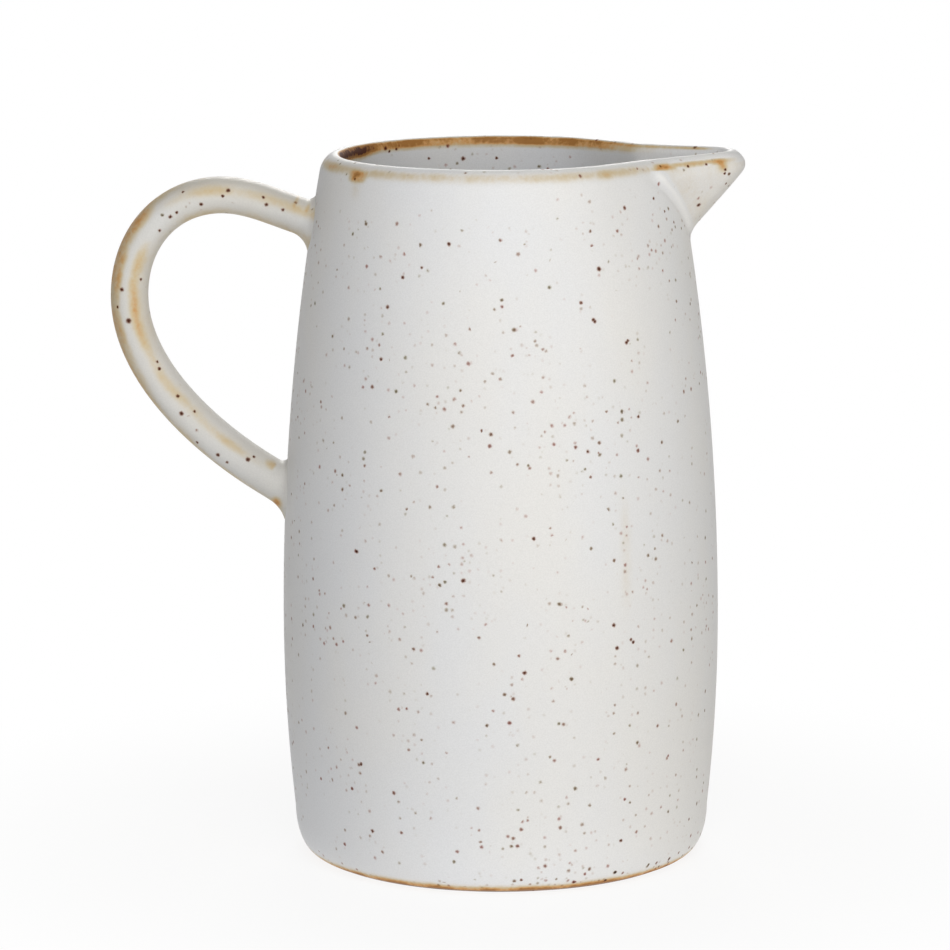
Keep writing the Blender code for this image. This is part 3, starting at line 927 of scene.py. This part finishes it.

# %% [markdown]
# ## Thin glaze and painted shade on the strap
# Pulling leaves soft ridges along a strap, and the glaze is thin on them: on the outer edge, on the
# shoulder of the upper arm, and down the side. The line on the outer edge is partly that thin glaze
# and partly painted shade, and the one on the inner edge is painted shade where the strap faces the
# wall. How thin changes on the way, so each ridge has a few stations along the strap. The rubbed
# spots lie where fingers held the handle for dipping. A little noise bends all these marks, so that
# none of them runs dead straight.

# %% Thin glaze and painted shade on the strap
# Ridges: place across the strap, 0 outside and 1 inside, half width, stations of place and thinness.
RIDGES = [
    (0.14, 0.15, [
        (0.39, 0.0), (0.42, 0.56), (0.455, 0.66), (0.475, 0.46), (0.50, 0.34), (0.56, 0.26), (0.8, 0.0),
    ]),
    (0.24, 0.09, [
        (0.47, 0.0), (0.49, 0.36), (0.50, 0.30), (0.52, 0.58), (0.54, 0.28), (0.60, 0.28), (0.68, 0.0),
    ]),
    (0.30, 0.15, [
        (0.07, 0.36), (0.10, 0.42), (0.16, 0.30), (0.24, 0.27), (0.31, 0.34), (0.36, 0.20), (0.40, 0.0),
    ]),
    (0.65, 0.14, [
        (0.44, 0.0), (0.47, 0.38), (0.50, 0.52), (0.535, 0.40),
        (0.56, 0.26), (0.62, 0.20), (0.70, 0.16), (0.8, 0.0),
    ]),
    (0.72, 0.11, [
        (0.53, 0.0), (0.56, 0.34), (0.60, 0.26), (0.66, 0.14),
        (0.74, 0.18), (0.78, 0.34), (0.82, 0.16), (0.86, 0.0),
    ]),
    # The two edge lines are painted shade: the outer one is partly thin glaze too, the inner one only
    # shade.
    (0.0, 0.13, [(0.0, 0.06), (0.30, 0.08), (0.40, 0.46), (0.60, 0.40), (0.85, 0.40), (1.0, 0.25)]),
    (1.0, 0.22, [(0.0, 0.38), (0.33, 0.34), (0.45, 0.16), (0.60, 0.14), (0.72, 0.06), (1.0, 0.06)]),
]
RUBBED = [        # places along and across the strap, half lengths, thinness
    (0.142, 0.14, 0.008, 0.12, 0.42),
    (0.085, 0.22, 0.008, 0.10, 0.44),
    (0.850, 0.82, 0.010, 0.08, 0.62),
    (0.945, 0.12, 0.020, 0.12, 0.80),
]


def amount_at(share, stations):
    """Reads a value between stations, and holds the first and the last one."""
    if share <= stations[0][0]:
        return stations[0][1]
    for (start, low), (end, high) in zip(stations, stations[1:]):
        if share <= end:
            return low + (high - low) * (share - start) / (end - start)
    return stations[-1][1]


def strap_thinness_and_shade(along, across):
    total = sum(amount_at(along, stations) * bump_at(across, *ridge) for *ridge, stations in RIDGES)
    for place, depth, half_length, half_width, amount in RUBBED:
        total += amount * bump_at(along, place, half_length) * bump_at(across, depth, half_width)
    return total


print("ridges:", len(RIDGES), "rubbed spots:", len(RUBBED))

# %% Mark thin glaze and painted shade on the strap
WAVERING = (70.0, 0.008, 0.05)   # bends per metre, and how far they shift a mark along and across
WAVERING_SEED = 5                # without a seed the noise would change from run to run

noise.seed_set(WAVERING_SEED)
thin_shade_sheen_layer = strap_sheet.verts.layers.float.new("thinness_shade_sheen")
grain_layer = strap_sheet.verts.layers.float.new("grains")
for vert in strap_sheet.verts:
    bend = noise.noise_vector(WAVERING[0] * vert.co)
    along = vert[along_layer] + WAVERING[1] * bend.x
    vert[thin_shade_sheen_layer] = strap_thinness_and_shade(along, vert[across_layer] + WAVERING[2] * bend.y)
    vert[grain_layer] = 1.0
strap_handle = as_piece("strap_handle", strap_sheet)
print("handle has", len(strap_handle.data.polygons), "faces")

# %% [markdown]
# ## The largest grains
# Some grains are large enough to be seen from across a table, so they are placed one by one: those on
# the wall and the lip by direction and height, those on the strap by how far along and how far round
# it they lie. They could be small beads of their own, but a grain lies inside the glaze and doesn't
# stand out. A node per grain measures the distance to it, and the nearest one wins.

# %% Places of the largest grains
WALL_GRAINS = [   # azimuth in degrees, height and diameter in millimetres
    (-60.0, 173.0, 1.35), (-99.5, 89.5, 1.3), (-63.0, 159.5, 1.1), (-62.5, 159.0, 1.0),
    (-130.0, 95.0, 1.1), (-52.0, 153.0, 0.95), (-52.5, 152.5, 1.1), (-60.0, 75.5, 1.15),
    (-59.0, 69.0, 1.15), (-119.0, 171.0, 1.05), (-129.5, 35.0, 1.05), (-84.0, 64.0, 1.15),
    (-124.5, 148.5, 1.05), (-56.0, 13.5, 1.0), (-81.5, 101.0, 1.05), (-50.0, 132.0, 0.95),
    (-54.0, 70.0, 1.0), (-105.0, 180.5, 1.1), (-127.0, 16.0, 1.1), (-109.0, 57.5, 0.95),
    (-66.5, 124.0, 1.0), (62.0, 140.0, 1.2), (118.0, 96.0, 1.3), (150.0, 52.0, 1.1),
    (35.0, 70.0, 1.2), (95.0, 160.0, 1.1), (82.0, 30.0, 1.2), (171.0, 130.0, 1.0),
    (-10.5, 186.0, 1.3), (-18.0, 197.5, 0.85), (-13.0, 197.5, 0.9), (-9.0, 195.5, 0.9),
    (-9.0, 194.5, 0.8), (-7.0, 191.5, 0.8), (-4.5, 190.5, 0.8), (-33.0, 190.0, 0.85),
    (-28.0, 186.0, 0.8), (-23.0, 182.5, 0.8), (14.0, 188.0, 1.0), (25.0, 193.0, 0.9),
]
INNER_GRAINS = [  # the same, on the inside of the wall
    (144.0, 198.5, 0.9), (137.5, 198.0, 1.35), (135.5, 197.0, 0.9), (132.0, 197.5, 0.95),
    (130.5, 198.5, 0.8), (103.5, 193.5, 1.3), (117.0, 194.0, 0.9), (91.0, 193.5, 0.9),
]
STRAP_GRAINS = [  # share of the way along, degrees round from the outside, diameter
    (0.275, -67, 1.2), (0.285, -85, 0.9), (0.32, -105, 1.1), (0.37, -102, 0.9), (0.385, -103, 1.1),
    (0.415, -114, 1.0), (0.345, -51, 0.8), (0.21, -65, 0.9), (0.20, -83, 1.1), (0.165, -81, 1.0),
    (0.515, -128, 0.9), (0.535, -71, 1.2), (0.56, -56, 0.8), (0.58, -86, 1.55), (0.645, -123, 0.9),
    (0.655, -117, 1.1), (0.695, -113, 1.1), (0.715, -86, 1.3), (0.725, -119, 0.9), (0.755, -53, 0.9),
    (0.78, -67, 1.2), (0.795, -66, 0.9), (0.815, -110, 1.35), (0.82, -127, 0.9), (0.30, 80, 1.1),
    (0.45, 100, 1.0), (0.62, 85, 1.2), (0.75, 95, 1.0),
]
print("large grains:", len(WALL_GRAINS) + len(INNER_GRAINS) + len(STRAP_GRAINS))

# %% Groups for the largest grains
LARGE_STAIN = 2.5
LARGE_SPREAD = 0.38          # of a grain's diameter, where its stain has dropped to about a third
NO_GRAIN = 10.0              # a distance at which nothing of a stain is left


def on_jug(azimuth, height, depth=0.0):
    radius = outside_radius(height * MM) if depth == 0.0 else wall_radius(height * MM) - depth
    return pulled_place(radians(azimuth), radius, height * MM, depth == 0.0)


def on_strap(along, turn):
    return station_matrix(round(along * (len(path) - 1))) @ section_point(radians(turn))


def placed_grains(name, grains):
    group, given, made = new_group(name, [("Place", "Vector", None)], ["Stain"])
    ragged = ragged_place(group, given["Place"])
    nearest = NO_GRAIN
    for place, diameter in grains:
        ends = {0: ragged, 1: place}
        away = add_node(group, "VectorMath", ends, operation="DISTANCE").outputs["Value"]
        away = calculate(group, "DIVIDE", away, LARGE_SPREAD * diameter * MM)
        nearest = calculate(group, "MINIMUM", nearest, away)
    stain = calculate(group, "MULTIPLY", bell_curve(group, nearest), LARGE_STAIN)
    group.links.new(stain, made.inputs["Stain"])
    print("group", name, "with", len(group.nodes), "nodes")
    return group


on_body = [(on_jug(azimuth, height), size) for azimuth, height, size in WALL_GRAINS]
on_body += [(on_jug(azimuth, height, WALL), size) for azimuth, height, size in INNER_GRAINS]
body_grains = placed_grains("body_grains", on_body)
on_handle = [(on_strap(along, turn), size) for along, turn, size in STRAP_GRAINS]
handle_grains = placed_grains("handle_grains", on_handle)

# %% [markdown]
# ## Glaze materials
# One recipe dresses the body, the spout and the handle: cream with faint clouds, then straw, amber,
# ochre and burnt brown where the glaze is thin and where painted shade lies, a whiter colour where it
# has pooled and where a painted highlight lies, then stains of iron. A stain swallows light, blue the
# most, so it multiplies the colour under it. Some are rosy and some olive, as iron fires either way.
# The handle has a darker copy of the cream, which paints the shade the strap stands in, and fewer
# grains, so the recipe is a function with those as arguments.

# %% Glaze colours
COOL_CREAM = (0.787, 0.793, 0.806)
WARM_CREAM = (0.807, 0.800, 0.786)
# The handle's cream is darker than the body's: painted shade for a strap that gets less light.
COOL_STRAP_SHADED = (0.705, 0.702, 0.690)
WARM_STRAP_SHADED = (0.700, 0.680, 0.635)
# Whiter glaze where it has pooled, and a painted highlight along the spout's joint
POOLED_AND_SHEEN = (0.90, 0.895, 0.875)
STRAW = (0.63, 0.52, 0.34)
AMBER = (0.60, 0.325, 0.12)
OCHRE = (0.36, 0.165, 0.045)
BURNT = (0.064, 0.015, 0.004)
ROSE_STAIN = (0.375, 0.190, 0.170)
OLIVE_STAIN = (0.360, 0.325, 0.240)


def stained(tree, colour, stain, hue):
    tint = blend_colour(tree, hue, ROSE_STAIN, OLIVE_STAIN)
    tint = add_node(tree, "Gamma", {"Color": tint, "Gamma": stain}).outputs[0]
    return blend_colour(tree, 1.0, colour, tint, "MULTIPLY")


print("glaze runs from", COOL_CREAM, "to", BURNT)

# %% Glaze recipe
GLAZE_GLOSS = 0.1
GLAZE_BUMP = (0.10, 0.1 * MM)      # strength, and depth of the dimples
FULL_POOL_AND_SHEEN = -1.0                   # thinness at which the whiter colour, of pooled glaze and painted highlight, is full
THIN_COLOURS = [("Straw", STRAW), ("Amber", AMBER), ("Ochre", OCHRE), ("Burnt", BURNT)]
SPACINGS = (2.2, 3.1)              # millimetres between the places where a fine or coarse grain can be
BODY_SHARES = (0.42, 0.50)         # shares of those places that have one
STRAP_SHARES = (0.10, 0.12)
CROWD_STAIN = 3.5                  # grains that crowd at the foot stain this much more
PLACED_HUE = 0.35


def glaze_material(name, cool, warm, shares, placed):
    material = bpy.data.materials.new(name)
    material.use_nodes = True
    tree = material.node_tree
    shader = tree.nodes["Principled BSDF"]
    shader.inputs["Specular IOR Level"].default_value = GLAZE_GLOSS
    place = add_node(tree, "TexCoord").outputs["Object"]
    thinness_shade_sheen = add_node(tree, "Attribute", attribute_name="thinness_shade_sheen").outputs["Fac"]
    grains = add_node(tree, "Attribute", attribute_name="grains").outputs["Fac"]
    surface = use_group(tree, skin, {"Place": place})
    thin = use_group(tree, breaking, {"Place": place, "Thinness, shade and sheen": thinness_shade_sheen})
    colour = blend_colour(tree, surface["Cloud"], cool, warm)
    colour = blend_colour(tree, 1.0, colour, surface["Mottle"], "MULTIPLY")
    # The whiter colour goes where the value is below zero: pooled glaze and painted highlight.
    colour = blend_colour(tree, ramp(tree, thinness_shade_sheen, 0.0, FULL_POOL_AND_SHEEN), colour, POOLED_AND_SHEEN)
    for label, thin_colour in THIN_COLOURS:
        colour = blend_colour(tree, thin[label], colour, thin_colour)
    gathered = ramp(tree, grains, 1.0, FOOT_CROWD[2], 1.0, CROWD_STAIN)
    for spacing, share in zip(SPACINGS, shares):
        share = calculate(tree, "MULTIPLY", grains, share)
        layer = use_group(tree, specks, {"Place": place, "Spacing": spacing, "Share": share})
        stain = calculate(tree, "MULTIPLY", layer["Stain"], gathered)
        colour = stained(tree, colour, stain, layer["Hue"])
    colour = stained(tree, colour, use_group(tree, placed, {"Place": place})["Stain"], PLACED_HUE)
    tree.links.new(colour, shader.inputs["Base Color"])
    tree.links.new(surface["Roughness"], shader.inputs["Roughness"])
    strength, depth = GLAZE_BUMP
    bump = add_node(tree, "Bump", {"Height": surface["Height"], "Strength": strength, "Distance": depth})
    tree.links.new(bump.outputs["Normal"], shader.inputs["Normal"])
    return material


body_glaze = glaze_material("cream_glaze", COOL_CREAM, WARM_CREAM, BODY_SHARES, body_grains)
shaded_handle_glaze = glaze_material("shaded_cream_glaze_handle", COOL_STRAP_SHADED, WARM_STRAP_SHADED, STRAP_SHARES, handle_grains)
print("glazes:", body_glaze.name, shaded_handle_glaze.name)

# %% [markdown]
# ## Bare clay
# Fired stoneware clay without glaze is a dull buff brown, with darker grains and a dry, slightly
# sandy surface. The grains are those of the glaze, so the same group makes them here.

# %% Bare clay
CLAY = (0.40, 0.30, 0.25)
DARK_CLAY = (0.27, 0.20, 0.165)
CLAY_ROUGHNESS = 0.85
SAND_SCALE = 900.0
CLAY_CLOUD_SCALE = 60.0
CLAY_NOISE = (0.3, 0.7)      # the noise of light clay, and of dark
CLAY_SHARE = 0.5             # share of the places that have a grain
CLAY_BUMP = (0.4, 0.15 * MM)


def clay_material():
    material = bpy.data.materials.new("bare_clay")
    material.use_nodes = True
    tree = material.node_tree
    shader = tree.nodes["Principled BSDF"]
    shader.inputs["Roughness"].default_value = CLAY_ROUGHNESS
    place = add_node(tree, "TexCoord").outputs["Object"]
    sand = noise_value(tree, place, SAND_SCALE, 4.0)
    clouds = noise_value(tree, place, CLAY_CLOUD_SCALE, 3.0)
    grains = use_group(tree, specks, {"Place": place, "Spacing": SPACINGS[0], "Share": CLAY_SHARE})
    colour = blend_colour(tree, ramp(tree, clouds, *CLAY_NOISE), CLAY, DARK_CLAY)
    colour = stained(tree, colour, grains["Stain"], grains["Hue"])
    tree.links.new(colour, shader.inputs["Base Color"])
    strength, depth = CLAY_BUMP
    bump = add_node(tree, "Bump", {"Height": sand, "Strength": strength, "Distance": depth})
    tree.links.new(bump.outputs["Normal"], shader.inputs["Normal"])
    return material


bare_clay = clay_material()
print("clay:", bare_clay.name)

# %% Dress the pieces
for piece, material in (
    (thrown_body, body_glaze),
    (pouring_spout, body_glaze),
    (strap_handle, shaded_handle_glaze),
    (bare_foot, bare_clay),
):
    piece.data.materials.append(material)
print("materials:", len(bpy.data.materials))

# %% [markdown]
# ## Floor and light
# The jug stands on a pale floor in a white surround. A plain white sheet under strong light would be
# as white, but that light would bleach the glaze too. So the floor is mostly drawn as plain white for
# the camera, all of it farther out, and near the foot it keeps a faint shadow. To the jug it glows
# less, and most of that round the foot, which it lights from below as a light table does.

# %% Floor
FLOOR_SIZE = 6.0             # metres, half of its side
WHITE = (1.0, 1.0, 1.0, 1.0)
PAPER = (0.9, 0.9, 0.9, 1.0)
FLOOR_GLOW = 0.88            # share of plain white in the floor that the camera sees at the foot
FLOOR_WHITE = 0.22           # metres from the axis at which it is all white
FOOT_BOUNCE = 0.65           # share of plain white in the floor that lights the foot from below
FLOOR_BOUNCE = 0.16          # and farther out
BOUNCE_END = 0.13            # metres from the axis


def seen_directly(tree):
    """One for what the camera sees, plainly or by gloss, and zero for light on its way to the jug."""
    paths = add_node(tree, "LightPath").outputs
    seen = calculate(tree, "MAXIMUM", paths["Is Camera Ray"], paths["Is Glossy Ray"])
    return calculate(tree, "MAXIMUM", seen, paths["Is Transmission Ray"])


def floor_material():
    material = bpy.data.materials.new("pale_floor")
    material.use_nodes = True
    tree = material.node_tree
    tree.nodes.remove(tree.nodes["Principled BSDF"])
    paper = add_node(tree, "BsdfDiffuse", {"Color": PAPER})
    glow = add_node(tree, "Emission", {"Color": WHITE, "Strength": 1.0})
    place = add_node(tree, "TexCoord").outputs["Object"]
    away = add_node(tree, "VectorMath", {0: place}, operation="LENGTH").outputs["Value"]
    shown = ramp(tree, away, FOOT_RADIUS, FLOOR_WHITE, FLOOR_GLOW, 1.0)
    bounce = ramp(tree, away, FOOT_RADIUS, BOUNCE_END, FOOT_BOUNCE, FLOOR_BOUNCE)
    share = ramp(tree, seen_directly(tree), 0.0, 1.0, bounce, shown)
    both = add_node(tree, "MixShader", {0: share, 1: paper.outputs[0], 2: glow.outputs[0]})
    tree.links.new(both.outputs[0], tree.nodes["Material Output"].inputs["Surface"])
    return material


floor_sheet = bmesh.new()
bmesh.ops.create_grid(floor_sheet, x_segments=1, y_segments=1, size=FLOOR_SIZE)
floor = as_piece("floor", floor_sheet)
floor.data.materials.append(floor_material())
print("floor", 2 * FLOOR_SIZE, "m across")

# %% [markdown]
# ## Lamps
# Two soft lamps in front do most of the work, one of them high. A low one on the right brightens the
# spout's side, a weak one fills in the left, and one behind lets the back be seen from other sides.
# The surround could light the jug alone, but evenly, and the barrel would look flat. So it is white
# for the camera and only a dim dome for the jug.

# %% Surround and lamps
DOME = 0.10
JUG_MIDDLE = Vector((0.0, 0.0, 0.1))
LAMP_DISTANCE = 1.05
LAMP_SIZE = 0.45
LAMPS = [         # degrees to the right of the camera and up, watts, tint
    ("front_lamp", 0.0, 20.0, 3.85, (0.94, 0.96, 1.00)),
    ("upper_lamp", 14.0, 55.0, 2.7, (1.00, 0.97, 0.90)),
    ("right_lamp", 42.0, 3.0, 2.2, (1.00, 0.94, 0.82)),
    ("left_lamp", -50.0, 15.0, 0.45, (1.00, 0.98, 0.95)),
    ("back_lamp", 180.0, 28.0, 4.0, (1.00, 0.99, 0.97)),
]


def white_surround():
    world = bpy.data.worlds.new("white_surround")
    world.use_nodes = True
    tree = world.node_tree
    strength = ramp(tree, seen_directly(tree), 0.0, 1.0, DOME, 1.0)
    tree.links.new(strength, tree.nodes["Background"].inputs["Strength"])
    tree.nodes["Background"].inputs["Color"].default_value = WHITE
    bpy.context.scene.world = world


def soft_lamp(name, side, rise, power, tint):
    """A round lamp that faces the jug from so many degrees to the right of the camera and up."""
    turn = radians(side)
    level = LAMP_DISTANCE * cos(radians(rise))
    reach = Vector((level * sin(turn), -level * cos(turn), LAMP_DISTANCE * sin(radians(rise))))
    lamp = bpy.data.objects.new(name, bpy.data.lights.new(name, "AREA"))
    lamp.data.shape = "DISK"
    lamp.data.size = LAMP_SIZE
    lamp.data.energy = power
    lamp.data.color = tint
    lamp.location = JUG_MIDDLE + reach
    lamp.rotation_euler = reach.to_track_quat("Z", "Y").to_euler()
    bpy.context.scene.collection.objects.link(lamp)


white_surround()
for lamp in LAMPS:
    soft_lamp(*lamp)
print("lamps:", len(bpy.data.lights))

# %% [markdown]
# ## Hand over to the frame
# Every piece rides on the one body of the jug, and the solids that it stands for are hidden.

# %% Ride and replace
for piece, slot, nodes in (
    (thrown_body, "glazed_stoneware", ("body_wall", "spout_seam")),
    (pouring_spout, "glazed_stoneware", ("spout",)),
    (strap_handle, "glazed_stoneware", ("handle", "upper_collar", "lower_collar")),
    (bare_foot, "bare_clay", ("base_disc",)),
):
    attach(piece, "root")
    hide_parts(*nodes)
